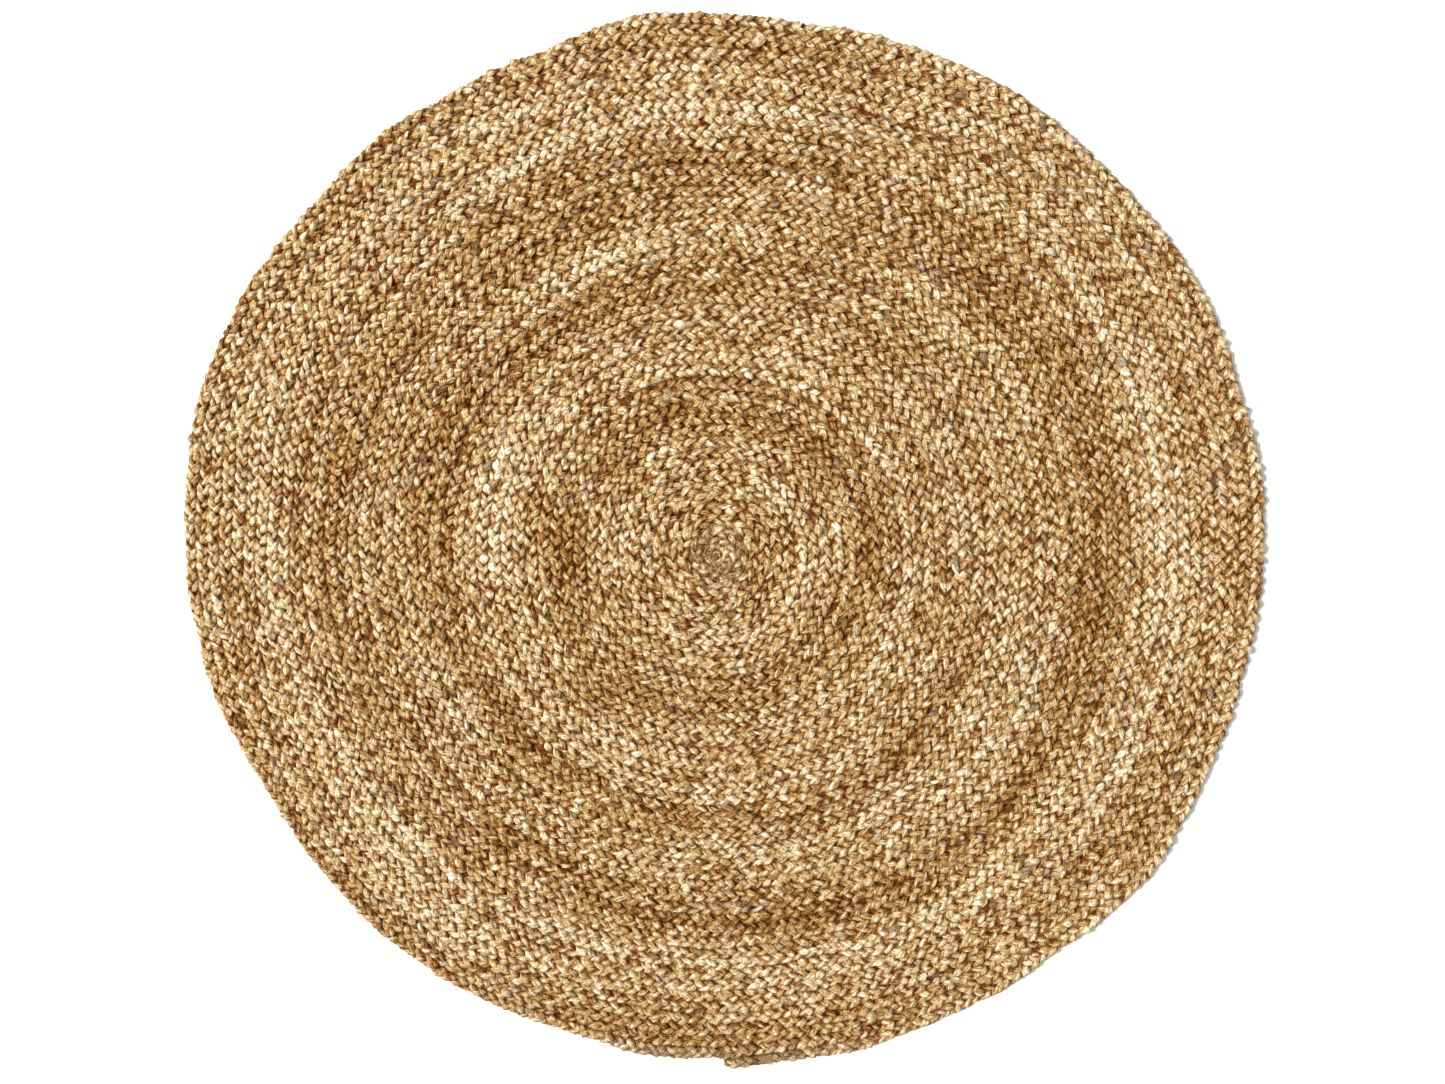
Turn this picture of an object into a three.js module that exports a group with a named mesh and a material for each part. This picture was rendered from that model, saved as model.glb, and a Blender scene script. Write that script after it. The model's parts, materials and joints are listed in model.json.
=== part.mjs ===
/**
 * Round braided jute floor rug.
 *
 * One flat three-strand braid starts in a small curl at the middle, winds outward clockwise
 * (seen from above) and is laced edge to edge into a flat disc. It ends at the rim in a
 * thinned tail with a twine whipping round it.
 *
 * Each round of the coil is a solid of its own. A round is one full turn of the braid. It
 * meets the round inside it along a seam and the next length of braid end to end.
 *
 * Units are millimetres, +Z is up, and the origin is the middle of the coil on the floor.
 * Bearings are in degrees, counter-clockwise from +X, seen from above.
 */
import * as THREE from 'three';

// --- Braid ---------------------------------------------------------------------------------
const braidPitch = 13.2;        // seam to seam across one round
const braidThickness = 10;      // floor to the crown of the strands
const seamClearance = 0.35;     // between a solid and its neighbour, sideways or end to end

// --- Lacing twine --------------------------------------------------------------------------
// It is pulled flat between two rounds, at the middle of the braid's thickness.
const lacingThickness = 0.5;    // across the seam
const lacingHeight = 2.2;       // up the seam

// --- Coil ----------------------------------------------------------------------------------
const roundCount = 44;          // full turns of the braid between the curl and the tail
const curlRadius = 12.5;        // where the first round starts to wind round the curl
const seamBearing = 281.25;     // where each round starts and ends
const smallRounds = 10;         // rounds near the middle, which need fewer flats
const smallRoundFacets = 16;    // flats that stand for one small round
const largeRoundFacets = 32;    // flats that stand for one large round, twice the small ones
const ovalShare = 0.0133;       // how much longer than round the coil is, as a share of radius
const ovalBearing = -4;         // direction of the long axis

// --- Rim waves -----------------------------------------------------------------------------
// The coil is laid by hand, so its rim isn't a true circle. Each wave has a number of crests
// round the rim, a height at the rim, and the bearing of one crest.
const rimWaves = [
  { crests: 3, height: 2.5, bearing: 43 },
  { crests: 4, height: 2.7, bearing: -18 },
  { crests: 5, height: 2.0, bearing: 29 },
  { crests: 8, height: 1.7, bearing: 9 },
  { crests: 11, height: 1.6, bearing: -2 },
];
const waveFade = 2;             // power by which the waves die away towards the middle

// --- Tail ----------------------------------------------------------------------------------
const tailLength = 108;         // braid past the last full round
const taperLength = 34;         // last stretch, which narrows to the tip
const tipWidth = 4;             // width of the tail at its very end
const twineThickness = 1.2;     // how far the whipping stands out from the tail
const whippingLength = 14;      // along the tail
const whippingSetback = 8;      // from the start of the taper back to the whipping

// --- Colours -------------------------------------------------------------------------------
// Raw jute comes in hanks of slightly different shade, each used up over a few rounds.
const hanks = [
  { lastRound: 6, colour: 0xa98a5c },
  { lastRound: 9, colour: 0xb99a69 },
  { lastRound: 14, colour: 0xa98759 },
  { lastRound: 21, colour: 0xb89866 },
  { lastRound: 24, colour: 0xad8c5d },
  { lastRound: 29, colour: 0xb39263 },
  { lastRound: 33, colour: 0xaf8b5a },
  { lastRound: 39, colour: 0xbd9d6d },
  { lastRound: Infinity, colour: 0xb8996b },
];
const tailColour = 0x97805a;
const twineColour = 0x8f8058;
const juteRoughness = 0.72;
const twineRoughness = 0.85;

// --- Sizes worked out from the values above ------------------------------------------------
const rimRadius = curlRadius + braidPitch * (roundCount + 1);
const halfClearance = seamClearance / 2;
const halfSeam = seamClearance + lacingThickness / 2;
const whippingWidth = braidPitch - 2 * halfSeam;
const tailWidth = whippingWidth - 2 * (twineThickness + seamClearance);
const tailThickness = braidThickness - 2 * (twineThickness + seamClearance);

const radians = THREE.MathUtils.degToRad;

/** Bearing, in radians, that the braid has reached after a number of turns from the curl. */
function bearingAt(turns) {
  return radians(seamBearing) - 2 * Math.PI * turns;
}

/** Plan radius of the laid coil where a true spiral would have the given radius. */
function laidRadius(spiralRadius, bearing) {
  const oval = 1 + ovalShare * Math.cos(2 * (bearing - radians(ovalBearing)));
  const fade = (spiralRadius / rimRadius) ** waveFade;
  let wave = 0;
  for (const { crests, height, bearing: crest } of rimWaves) {
    wave += height * Math.cos(crests * (bearing - radians(crest)));
  }
  return spiralRadius * oval + fade * wave;
}

/** Flats in one turn, which stay in line with those of the rounds on both sides. */
function facetsIn(round) {
  return round <= smallRounds ? smallRoundFacets : largeRoundFacets;
}

/** Spiral radius at a share of the braid's width, 0 at its inner seam and 1 at its outer. */
function spiralRadius(turns, share) {
  return curlRadius + braidPitch * (turns + share);
}

/**
 * Plan point on a seam line, moved off the line by an inset and along the braid by a shift.
 * @param {number} turns turns of the braid from the curl
 * @param {number} share 0 for the inner seam, 1 for the outer seam
 * @param {number} inset outward move, which is negative for a move inward
 * @param {number} shift move along the braid, away from the curl
 */
function seamPoint(turns, share, inset, shift = 0) {
  const bearing = bearingAt(turns);
  const radius = laidRadius(spiralRadius(turns, share), bearing) + inset;
  const point = new THREE.Vector2(Math.cos(bearing), Math.sin(bearing)).multiplyScalar(radius);
  const along = new THREE.Vector2(Math.sin(bearing), -Math.cos(bearing));
  return point.addScaledVector(along, shift);
}

/** The flat plate of an outline, from one height to another. */
function plate(outline, bottom, top) {
  const geometry = new THREE.ExtrudeGeometry(new THREE.Shape(outline), {
    depth: top - bottom,
    bevelEnabled: false,
  });
  return geometry.translate(0, 0, bottom);
}

function namedMesh(name, geometry, colour, roughness) {
  const material = new THREE.MeshStandardMaterial({ color: colour, roughness, metalness: 0 });
  const mesh = new THREE.Mesh(geometry, material);
  mesh.name = name;
  return mesh;
}

function hankColour(round) {
  return hanks.find((hank) => round <= hank.lastRound).colour;
}

// --- Curled start: a snail-shaped plug that the first round winds round --------------------
function curledStart() {
  const outline = [];
  const facets = facetsIn(1);
  for (let facet = 1; facet < facets; facet += 1) {
    outline.push(seamPoint(facet / facets, 0, -halfSeam));
  }
  outline.push(seamPoint(1, 0, -halfSeam, -halfClearance));
  outline.push(seamPoint(0, 0, -halfSeam, -halfClearance));
  const geometry = plate(outline.reverse(), 0, braidThickness);
  return namedMesh('curled_start', geometry, hankColour(1), juteRoughness);
}

// --- One full round of the coil ------------------------------------------------------------
function coilRound(round) {
  const inner = [];
  const outer = [];
  const facets = facetsIn(round);
  for (let facet = 0; facet <= facets; facet += 1) {
    const turns = round - 1 + facet / facets;
    let shift = 0;
    if (facet === 0) shift = halfClearance;
    if (facet === facets) shift = -halfClearance;
    inner.push(seamPoint(turns, 0, halfSeam, shift));
    outer.push(seamPoint(turns, 1, -halfSeam, shift));
  }
  const geometry = plate([...inner, ...outer.reverse()], 0, braidThickness);
  const name = `round_${String(round).padStart(2, '0')}`;
  return namedMesh(name, geometry, hankColour(round), juteRoughness);
}

// --- Lacing twine: one length that follows the seam inside every round ---------------------
function lacingTwine() {
  const inner = [seamPoint(0, 0, -lacingThickness / 2, seamClearance)];
  const outer = [seamPoint(0, 0, lacingThickness / 2, seamClearance)];
  for (let round = 1; round <= roundCount + 1; round += 1) {
    const facets = facetsIn(round);
    const laced = round > roundCount ? 1 : facets;     // the tail is laced along one flat
    for (let facet = 1; facet <= laced; facet += 1) {
      const turns = round - 1 + facet / facets;
      inner.push(seamPoint(turns, 0, -lacingThickness / 2));
      outer.push(seamPoint(turns, 0, lacingThickness / 2));
    }
  }
  const bottom = (braidThickness - lacingHeight) / 2;
  const geometry = plate([...inner, ...outer.reverse()], bottom, bottom + lacingHeight);
  return namedMesh('lacing_twine', geometry, twineColour, twineRoughness);
}

// --- Tail: lies along the first flats of the last round ------------------------------------
/** Point, direction and outward normal on the tail's centre line, on the coil's own flats. */
function tailLine(distance) {
  let facet = 0;
  let left = distance;
  for (;;) {
    const from = seamPoint(roundCount + facet / largeRoundFacets, 0.5, 0);
    const to = seamPoint(roundCount + (facet + 1) / largeRoundFacets, 0.5, 0);
    const length = from.distanceTo(to);
    if (left <= length) {
      const along = to.clone().sub(from).normalize();
      const point = from.clone().addScaledVector(along, left);
      return { point, along, outward: new THREE.Vector2(-along.y, along.x) };
    }
    left -= length;
    facet += 1;
  }
}

/** Plan points across the tail at a distance along it, first the inner and then the outer. */
function tailAcross(distance, width, lean) {
  const { point, outward } = tailLine(distance);
  const inner = point.clone().addScaledVector(outward, lean - width / 2);
  const outer = point.clone().addScaledVector(outward, lean + width / 2);
  return [inner, outer];
}

function tail() {
  const tipLean = (tipWidth - tailWidth) / 2;      // the tip keeps to the inner side
  const start = [-tailWidth / 2, tailWidth / 2].map(
    (inset) => seamPoint(roundCount, 0.5, inset, halfClearance),
  );
  const ends = [
    start,
    tailAcross(tailLength - taperLength, tailWidth, 0),
    tailAcross(tailLength, tipWidth, tipLean),
  ];
  const inner = ends.map((pair) => pair[0]);
  const outer = ends.map((pair) => pair[1]).reverse();
  const bottom = twineThickness + seamClearance;
  const geometry = plate([...inner, ...outer], bottom, bottom + tailThickness);
  return namedMesh('tail', geometry, tailColour, juteRoughness);
}

// --- Whipping: turns of twine round the tail, as one band ----------------------------------
function rectangle(width, height, ShapeClass) {
  return new ShapeClass([
    new THREE.Vector2(-width / 2, -height / 2),
    new THREE.Vector2(width / 2, -height / 2),
    new THREE.Vector2(width / 2, height / 2),
    new THREE.Vector2(-width / 2, height / 2),
  ]);
}

function tailWhipping() {
  const band = rectangle(whippingWidth, braidThickness, THREE.Shape);
  const openingWidth = whippingWidth - 2 * twineThickness;
  const openingHeight = braidThickness - 2 * twineThickness;
  band.holes.push(rectangle(openingWidth, openingHeight, THREE.Path));
  const geometry = new THREE.ExtrudeGeometry(band, {
    depth: whippingLength,
    bevelEnabled: false,
  });
  geometry.translate(0, 0, -whippingLength / 2);

  const middle = tailLength - taperLength - whippingSetback - whippingLength / 2;
  const { point, along, outward } = tailLine(middle);
  const axes = new THREE.Matrix4().makeBasis(
    new THREE.Vector3(-outward.x, -outward.y, 0),
    new THREE.Vector3(0, 0, 1),
    new THREE.Vector3(-along.x, -along.y, 0),
  );
  const mesh = namedMesh('tail_whipping', geometry, twineColour, twineRoughness);
  mesh.quaternion.setFromRotationMatrix(axes);
  mesh.position.set(point.x, point.y, braidThickness / 2);
  return mesh;
}

// --- Assembly ------------------------------------------------------------------------------
const rug = new THREE.Group();
rug.add(curledStart());
for (let round = 1; round <= roundCount; round += 1) {
  rug.add(coilRound(round));
}
rug.add(lacingTwine());
rug.add(tail());
rug.add(tailWhipping());

export default rug;
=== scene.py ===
"""Looks of a round braided jute floor rug.

One flat three-strand braid winds outward, clockwise seen from above, from a tight curl at the
middle. Lacing twine sews each round to the round inside it, and twine is whipped round the
thinned tail at the rim. The strands, the twine and the loose fibres are made here as meshes,
in metres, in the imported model's own frame, and each round of the braid stands for the CAD
node of that round.
"""

from __future__ import annotations

import json
import logging
import math
from dataclasses import dataclass, field
from enum import Enum

import bpy
import numpy as np
from mathutils import Matrix, Vector


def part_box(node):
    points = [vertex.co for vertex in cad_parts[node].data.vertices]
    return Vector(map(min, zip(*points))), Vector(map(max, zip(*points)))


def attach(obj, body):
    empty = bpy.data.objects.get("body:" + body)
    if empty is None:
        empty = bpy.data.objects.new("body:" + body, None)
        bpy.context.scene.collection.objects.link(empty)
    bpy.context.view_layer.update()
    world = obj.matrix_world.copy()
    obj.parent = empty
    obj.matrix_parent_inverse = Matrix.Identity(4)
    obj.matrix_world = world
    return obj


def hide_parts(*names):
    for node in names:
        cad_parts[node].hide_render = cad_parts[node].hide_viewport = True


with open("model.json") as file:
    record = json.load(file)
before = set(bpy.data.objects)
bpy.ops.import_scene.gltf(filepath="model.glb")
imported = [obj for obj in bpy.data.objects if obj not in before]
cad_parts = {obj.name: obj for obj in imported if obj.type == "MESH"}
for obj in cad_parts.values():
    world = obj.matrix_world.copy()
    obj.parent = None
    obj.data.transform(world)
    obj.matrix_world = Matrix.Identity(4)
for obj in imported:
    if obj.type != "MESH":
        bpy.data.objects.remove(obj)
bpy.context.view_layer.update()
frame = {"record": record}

Array = np.ndarray
Pair = tuple[float, float]
Triple = tuple[float, float, float]
Material = bpy.types.Material
Socket = bpy.types.NodeSocket

logging.basicConfig(level=logging.INFO, format="%(name)s: %(message)s")
LOG = logging.getLogger("rug")

MM = 0.001
TURN = 2.0 * math.pi
UP = np.array([0.0, 0.0, 1.0])
TUBE_STAGGER = 0.11         # metres of strand map between one tube's start and the next one's
QUAD_ASPECT = 0.85          # length of a strand's quads along it, over their width
ROW_GAP = 0.04              # clear share above and below each row of the bake map
SIDE_STAGGER = 331.0        # noise knots between the lumps on one side of a strand and the next
CROSSING = 0.5 * math.pi    # plaiting phase from one crossing to the next


# --- The laid coil -----------------------------------------------------------------------


@dataclass(frozen=True)
class RimWave:
    """One wave of the hand-laid rim, as a number of crests round the rug."""

    crests: int
    height: float
    bearing: float


@dataclass(frozen=True)
class Coil:
    """The spiral that the braid is laid in, with the same sizes as the CAD rounds, in metres.

    Turns count from the curl outward and are negative inside it. A share runs across the
    braid, 0 on its inner seam and 1 on its outer seam.
    """

    pitch: float = 13.2 * MM
    curl_radius: float = 12.5 * MM
    rounds: int = 44
    seam_bearing: float = math.radians(281.25)
    oval_share: float = 0.0133
    oval_bearing: float = math.radians(-4.0)
    wave_fade: float = 2.0
    ripple_seed: int = 4
    ripple_waves: int = 16
    ripple_lengths: Pair = (60.0 * MM, 240.0 * MM)
    ripple_height: float = 0.8 * MM
    still_radius: float = 60.0 * MM
    waves: tuple[RimWave, ...] = (
        RimWave(3, 2.5 * MM, math.radians(43.0)),
        RimWave(4, 2.7 * MM, math.radians(-18.0)),
        RimWave(5, 2.0 * MM, math.radians(29.0)),
        RimWave(8, 1.7 * MM, math.radians(9.0)),
        RimWave(11, 1.6 * MM, math.radians(-2.0)),
    )

    @property
    def rim_radius(self) -> float:
        """Spiral radius of the outer seam of the last round."""
        return self.curl_radius + self.pitch * (self.rounds + 1)

    def bearing(self, turns: Array) -> Array:
        """Bearing after a number of turns: the seam's own, less a full circle for each turn."""
        return self.seam_bearing - TURN * turns

    def radius(self, turns: Array, share: Array) -> Array:
        """Spiral radius: the curl's, plus one pitch for each turn and for a full share."""
        return self.curl_radius + self.pitch * (turns + share)

    def laid(self, radius: Array, bearing: Array) -> Array:
        """Radius once the coil is laid.

        The spiral radius grows by the oval, a cosine of twice the bearing, and by the rim
        waves, cosines of their crests, which fade with a power of the radius. A slow ripple
        that every round shares stands for uneven sewing.

        Args:
            radius: Spiral radii in metres.
            bearing: Bearings in radians.

        Returns:
            Laid radii in metres.
        """
        oval = 1.0 + self.oval_share * np.cos(2.0 * (bearing - self.oval_bearing))
        wave = sum(w.height * np.cos(w.crests * (bearing - w.bearing)) for w in self.waves)
        fade = np.abs(radius / self.rim_radius) ** self.wave_fade
        return radius * oval + fade * wave + self.ripple(radius, bearing)

    def ripple(self, radius: Array, bearing: Array) -> Array:
        """Uneven sewing that neighbouring rounds share.

        It is a sum of straight sine waves over the floor, each with its own wavelength and
        heading, which is still in the very middle.

        Args:
            radius: Spiral radii in metres.
            bearing: Bearings in radians.

        Returns:
            Outward moves in metres.
        """
        draw = np.random.default_rng(self.ripple_seed)
        x, y = radius * np.cos(bearing), radius * np.sin(bearing)
        total = np.zeros(np.broadcast(radius, bearing).shape)
        for _ in range(self.ripple_waves):
            wavelength = draw.uniform(*self.ripple_lengths)
            heading, start = draw.uniform(0.0, TURN, 2)
            across = (x * math.cos(heading) + y * math.sin(heading)) * TURN / wavelength
            total += self.ripple_height * wavelength / self.ripple_lengths[1] * np.sin(across + start)
        return np.clip(radius / self.still_radius, 0.0, 1.0) * total

    def place(self, turns: Array, share: Array, height: Array) -> Array:
        """World places of points on the braid.

        Args:
            turns: Turns from the curl.
            share: Share across the braid.
            height: Height above the floor in metres.

        Returns:
            An array with a last axis of X, Y and Z.
        """
        bearing = self.bearing(turns)
        radius = self.laid(self.radius(turns, share), bearing)
        return np.stack([radius * np.cos(bearing), radius * np.sin(bearing), height], axis=-1)


@dataclass
class Plait:
    """How tightly the braid is plaited along its length, and where it thins out.

    Length along the braid is measured on its middle line. A plait is one full cycle in which
    each strand crosses over and under and comes back to its own side. The opening and the
    curling say at which turn they are over and how many turns they take. The thin places are
    shares of the tail left to its tip.
    """

    coil: Coil
    first_turn: float = -0.78
    tail_length: float = 108.0 * MM
    table_size: int = 60000
    plait_length: float = 40.5 * MM
    curl_plait_length: float = 26.0 * MM
    open_plait_length: float = 47.0 * MM
    hand_drift: float = 0.05
    drift_turns: Pair = (3.7, 0.83)
    drift_start: float = 0.8
    opening: Pair = (3.5, 2.5)
    curling: Pair = (0.7, 0.8)
    tip_size: float = 0.70
    tip_turns: float = 0.5
    thin_places: tuple[float, ...] = (0.0, 0.08, 0.22, 0.38, 0.53, 0.75, 1.0)
    thin_sizes: tuple[float, ...] = (0.5, 0.86, 0.88, 0.66, 0.66, 0.86, 1.0)
    turns: Array = field(init=False)
    length: Array = field(init=False)
    phase: Array = field(init=False)

    def __post_init__(self) -> None:
        """Works out the tables of length and phase by adding up small steps along the coil."""
        rim = self.coil.radius(np.array(float(self.coil.rounds)), np.array(0.5))
        last_turn = self.coil.rounds + self.tail_length / (TURN * float(rim))
        self.turns = np.linspace(self.first_turn, last_turn, self.table_size)
        radius = self.coil.radius(self.turns, 0.5)
        step = np.diff(self.turns, prepend=self.turns[0]) * TURN
        run = np.hypot(radius, self.coil.pitch / TURN) * step
        self.length = np.cumsum(run)
        self.phase = np.cumsum(TURN * run / self._plait_at(self.turns))

    def _plait_at(self, turns: Array) -> Array:
        """Plait length: short in the curl, long in the first rounds, with slow hand drift."""
        slow, quick = self.drift_turns
        waves = np.sin(TURN * turns / slow + self.drift_start) + np.sin(TURN * turns / quick)
        even = self.plait_length * (1.0 + self.hand_drift * waves)
        opened = np.clip((self.opening[0] - turns) / self.opening[1], 0.0, 1.0)
        curled = np.clip((self.curling[0] - turns) / self.curling[1], 0.0, 1.0)
        loose = even + opened * (self.open_plait_length - even)
        return loose + curled * (self.curl_plait_length - loose)

    def turns_at(self, length: Array) -> Array:
        """Turns reached after a length of braid."""
        return np.interp(length, self.length, self.turns)

    def length_at(self, turns: Array) -> Array:
        """Length of braid used up after a number of turns."""
        return np.interp(turns, self.turns, self.length)

    def phase_at(self, length: Array) -> Array:
        """Plaiting phase, in radians, after a length of braid."""
        return np.interp(length, self.length, self.phase)

    def length_of_phase(self, phase: Array) -> Array:
        """Length of braid at which the plaiting reaches a phase."""
        return np.interp(phase, self.phase, self.length)

    def fullness(self, length: Array) -> Array:
        """Size of the braid against its full size: it swells in from the tip and thins to the tail.

        Args:
            length: Lengths along the braid in metres.

        Returns:
            Shares from 0 to 1.
        """
        turns = self.turns_at(length)
        start = np.clip((turns - self.first_turn) / self.tip_turns, 0.0, 1.0)
        swell = self.tip_size + (1.0 - self.tip_size) * start * start * (3.0 - 2.0 * start)
        left = np.clip((self.length[-1] - length) / self.tail_length, 0.0, 1.0)
        thin = np.interp(left, self.thin_places, self.thin_sizes)
        return swell * thin


# --- Seeded unevenness -------------------------------------------------------------------


class Unevenness:
    """Smooth seeded noise along one line, for the hand-made variation of strands."""

    def __init__(self, seed: int, knots: int = 40000) -> None:
        """Draws the noise's values at whole numbers.

        Args:
            seed: Seed of the draw.
            knots: How many values are drawn before they repeat.
        """
        self.values = np.random.default_rng(seed).standard_normal(knots)

    def at(self, place: Array) -> Array:
        """Noise at places along the line: a cosine blend of the two nearest whole numbers."""
        base = np.floor(place).astype(np.int64)
        part = place - base
        blend = 0.5 - 0.5 * np.cos(math.pi * part)
        low = self.values[base % len(self.values)]
        high = self.values[(base + 1) % len(self.values)]
        return low + (high - low) * blend


# --- Meshes ------------------------------------------------------------------------------


@dataclass
class Surface:
    """Closed tubes gathered into one mesh, with their vertex numbers and corner maps.

    Rows of quads hold four vertex indices and rows of caps one index for each side of a tube.
    """

    points: Array
    quads: Array
    caps: Array
    numbers: dict[str, Array]
    strand_map: Array
    bake_map: Array


def gather_tubes(rings: Array, numbers: dict[str, Array], girth: float, start: float = 0.0) -> Surface:
    """Closes rings of points into tubes.

    Each ring is joined to the next by quads that face outward, and each end is closed by one
    flat face. The strand map runs along a tube's middle in metres and round it over the girth.
    The bake map cuts all the tubes into rows of equal length, laid one above the other.

    Args:
        rings: Points, by tube, station, side and axis.
        numbers: Numbers by label, each by tube, station and side.
        girth: Length in metres that the strand map gives to one way round.
        start: Where the strand map starts along the first tube, in metres.

    Returns:
        The gathered surface.
    """
    tubes, stations, sides, _ = rings.shape
    index = np.arange(tubes * stations * sides).reshape(tubes, stations, sides)
    after = np.roll(index, -1, axis=2)
    quads = np.stack([index[:, :-1], after[:, :-1], after[:, 1:], index[:, 1:]], axis=-1)
    caps = np.concatenate([index[:, 0, ::-1], index[:, -1]])
    middle = rings.mean(axis=2)
    step = np.linalg.norm(np.diff(middle, axis=1), axis=-1)
    along = start + np.cumsum(step, axis=1) + TUBE_STAGGER * np.arange(tubes)[:, None]
    low, high = (along - step)[:, :, None], along[:, :, None]
    return Surface(
        rings.reshape(-1, 3),
        quads.reshape(-1, 4),
        caps,
        {label: value.ravel() for label, value in numbers.items()},
        grid_corners(low, high, np.arange(sides) * girth / sides, girth / sides),
        sheet_corners(tubes * (stations - 1), sides),
    )


def grid_corners(low: Array, high: Array, side: Array, width: float) -> Array:
    """Map places of quad corners, from each quad's two ends along and its place round."""
    near, far = low + 0.0 * side, high + 0.0 * side
    along = np.stack([near, near, far, far], axis=-1)
    around = np.stack([side, side + width, side + width, side], axis=-1)
    return np.stack(np.broadcast_arrays(along, around), axis=-1).reshape(-1, 2)


def sheet_corners(segments: int, sides: int) -> Array:
    """Bake map: tubes cut into rows of equal length, laid on a square one above the other.

    Args:
        segments: Quads along all the tubes together.
        sides: Quads round a tube.

    Returns:
        One row per quad corner, from 0 to 1.
    """
    rows = max(1, round(math.sqrt(segments * QUAD_ASPECT / sides)))
    per_row = math.ceil(segments / rows)
    row, column = np.divmod(np.arange(segments), per_row)
    side = (ROW_GAP + (1.0 - 2.0 * ROW_GAP) * np.arange(sides) / sides + row[:, None]) / rows
    low = (column / per_row)[:, None]
    return grid_corners(low, low + 1.0 / per_row, side, (1.0 - 2.0 * ROW_GAP) / (sides * rows))


def sweep(line: Array, radius: Array, sides: int, level: Array) -> Array:
    """Round rings square to their lines.

    At each station a ring's first axis is the run crossed with a level direction, and its
    second is square to both. A point is the middle plus the radius times the cosine and the
    sine of its angle along these two.

    Args:
        line: Middle lines, by tube, station and axis.
        radius: Radii by tube and station.
        sides: Points in a ring.
        level: A direction that no line runs along.

    Returns:
        Points, by tube, station, side and axis.
    """
    run = np.gradient(line, axis=1)
    run /= np.linalg.norm(run, axis=-1, keepdims=True)
    second = np.cross(np.broadcast_to(level, run.shape), run)
    second /= np.linalg.norm(second, axis=-1, keepdims=True)
    third = np.cross(run, second)
    angle = TURN * np.arange(sides) / sides
    around = (
        np.cos(angle)[:, None] * second[:, :, None, :] + np.sin(angle)[:, None] * third[:, :, None, :]
    )
    return line[:, :, None, :] + radius[:, :, None, None] * around


def rounded_box(angle: Array, squareness: float) -> tuple[Array, Array]:
    """Rounded box of half size 1, as the cosine and the sine of an angle.

    Each is raised to two over the squareness with its sign kept. A squareness of 2 is round.

    Args:
        angle: Angles in radians.
        squareness: How square the box is.

    Returns:
        Places across and up.
    """
    cosine, sine = np.cos(angle), np.sin(angle)
    power = 2.0 / squareness
    across = np.sign(cosine) * np.abs(cosine).round(9) ** power
    return across, np.sign(sine) * np.abs(sine).round(9) ** power


def add_piece(name: str, surface: Surface, finish: Material, slot: str, node: str | None = None) -> None:
    """Turns a gathered surface into a piece at the origin, which rides on the rug's one body.

    Args:
        name: The piece's name.
        surface: What was gathered.
        finish: Its material.
        slot: Its material slot in the record.
        node: The CAD node that it stands for, if there is one.
    """
    corners = np.concatenate([surface.quads.ravel(), surface.caps.ravel()])
    sizes = np.repeat([4, surface.caps.shape[1]], [len(surface.quads), len(surface.caps)])
    starts = np.concatenate([[0], np.cumsum(sizes)[:-1]])
    mesh = bpy.data.meshes.new(name)
    mesh.vertices.add(len(surface.points))
    mesh.vertices.foreach_set("co", surface.points.astype(np.float32).ravel())
    mesh.loops.add(len(corners))
    mesh.loops.foreach_set("vertex_index", corners.astype(np.int32))
    mesh.polygons.add(len(sizes))
    mesh.polygons.foreach_set("loop_start", starts.astype(np.int32))
    mesh.polygons.foreach_set("loop_total", sizes.astype(np.int32))
    mesh.polygons.foreach_set("use_smooth", np.ones(len(sizes), bool))
    for layer, values in (("strand", surface.strand_map), ("OFBake", surface.bake_map)):
        uv = np.tile(values[:1], (len(corners), 1))
        uv[: len(values)] = values
        mesh.uv_layers.new(name=layer).uv.foreach_set("vector", uv.astype(np.float32).ravel())
    for label, values in surface.numbers.items():
        attribute = mesh.attributes.new(label, "FLOAT", "POINT")
        attribute.data.foreach_set("value", values.astype(np.float32))
    mesh.materials.append(finish)
    mesh.update(calc_edges=True)
    piece = bpy.data.objects.new(name, mesh)
    bpy.context.scene.collection.objects.link(piece)
    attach(piece, "root")
    if node is not None:
        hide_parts(node)
    LOG.info("%s: %d triangles, slot %s", name, len(corners) - 2 * len(sizes), slot)


# --- Shader maths ------------------------------------------------------------------------


class Wire:
    """A number that flows in a node tree, so that sums on it add Math nodes."""

    def __init__(self, bench: "Bench", socket: Socket) -> None:
        """Wraps a socket of a bench's node tree."""
        self.bench = bench
        self.socket = socket

    def _sum(self, operation: str, first: object, second: object) -> "Wire":
        """Adds one Math node."""
        node = self.bench.node("ShaderNodeMath", {"operation": operation}, {0: first, 1: second})
        return Wire(self.bench, node.outputs[0])

    def __add__(self, other: object) -> "Wire":
        """Sum."""
        return self._sum("ADD", self, other)

    __radd__ = __add__

    def __sub__(self, other: object) -> "Wire":
        """Difference."""
        return self._sum("SUBTRACT", self, other)

    def __rsub__(self, other: object) -> "Wire":
        """Difference from a plain number."""
        return self._sum("SUBTRACT", other, self)

    def __mul__(self, other: object) -> "Wire":
        """Product."""
        return self._sum("MULTIPLY", self, other)

    __rmul__ = __mul__

    def clamped(self, low: float, high: float) -> "Wire":
        """The number held between two limits."""
        return self._sum("MINIMUM", self._sum("MAXIMUM", self, low), high)


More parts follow.
